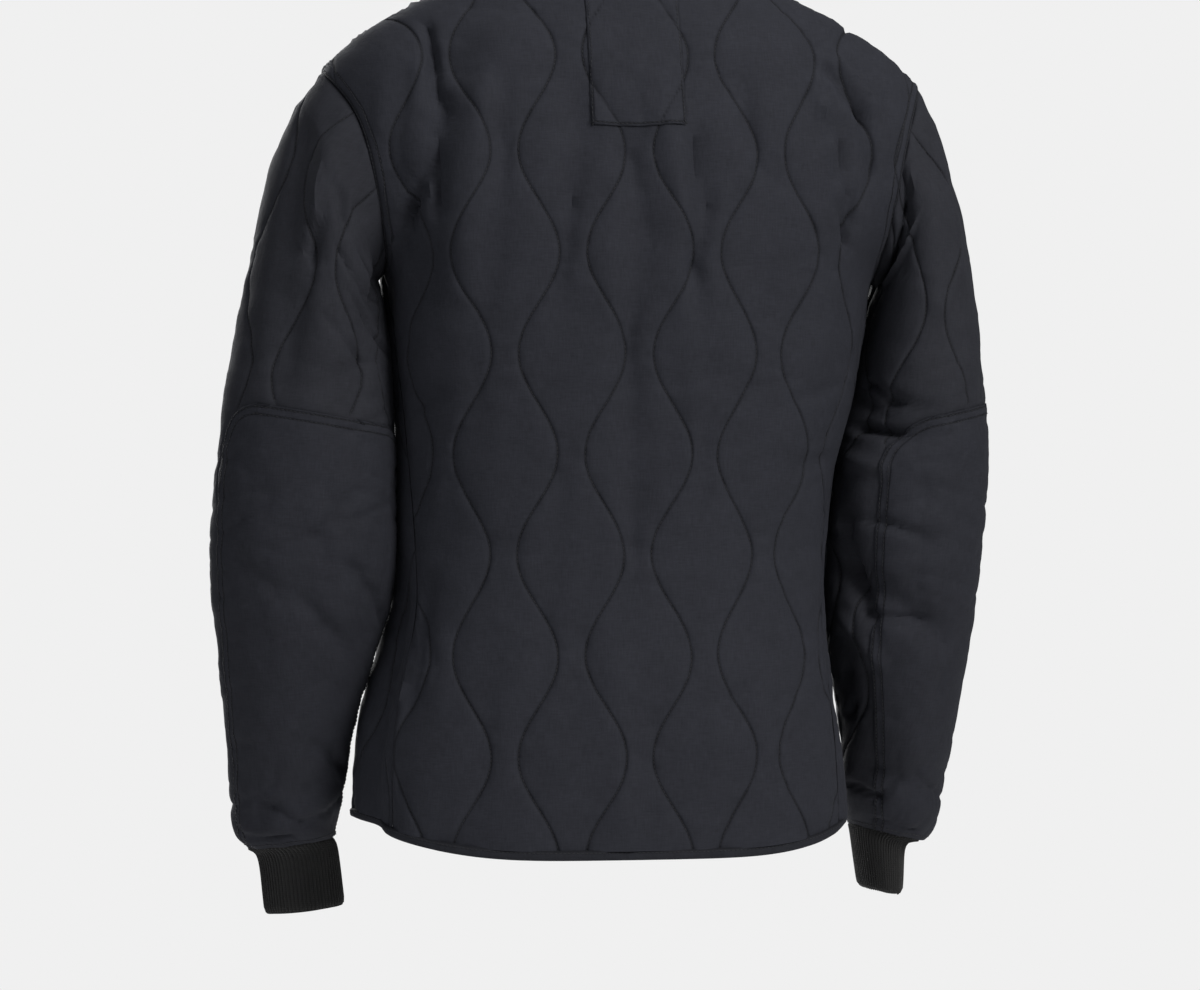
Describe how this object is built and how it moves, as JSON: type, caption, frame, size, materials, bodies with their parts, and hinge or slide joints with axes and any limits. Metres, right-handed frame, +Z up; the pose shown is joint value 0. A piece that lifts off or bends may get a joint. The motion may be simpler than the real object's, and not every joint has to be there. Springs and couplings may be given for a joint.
{
  "type": "quilted jacket",
  "caption": "Collarless quilted liner jacket in worn form, with wave quilting, plain elbow panels, knitted cuffs, a bound hem and a snapped front.",
  "frame": {"origin": "base of the neck, where the wearer's shoulders hold the jacket", "axes": "+Z up, the front faces -Y, +X towards the wearer's left"},
  "size_m": [0.625, 0.2686, 0.7724],
  "materials": {
    "quilted_cloth": "matte charcoal plain weave, onion quilted",
    "plain_cloth": "matte charcoal plain weave, unquilted",
    "tape": "matte charcoal woven tape",
    "rib_knit": "black rib knit",
    "snap_metal": "dark satin"
  },
  "bodies": {
    "root": {"back": "quilted_cloth", "back_neck_patch": "plain_cloth", "front_left": "quilted_cloth", "front_right": "quilted_cloth", "sleeve_left": "quilted_cloth", "sleeve_right": "quilted_cloth", "elbow_panel_left": "plain_cloth", "elbow_panel_right": "plain_cloth", "cuff_left": "rib_knit", "cuff_right": "rib_knit", "hem_binding": "tape", "neck_binding": "tape", "front_binding_left": "tape", "front_binding_right": "tape", "snap_1": "snap_metal", "snap_2": "snap_metal", "snap_3": "snap_metal", "snap_4": "snap_metal", "snap_5": "snap_metal"}
  },
  "joints": []
}
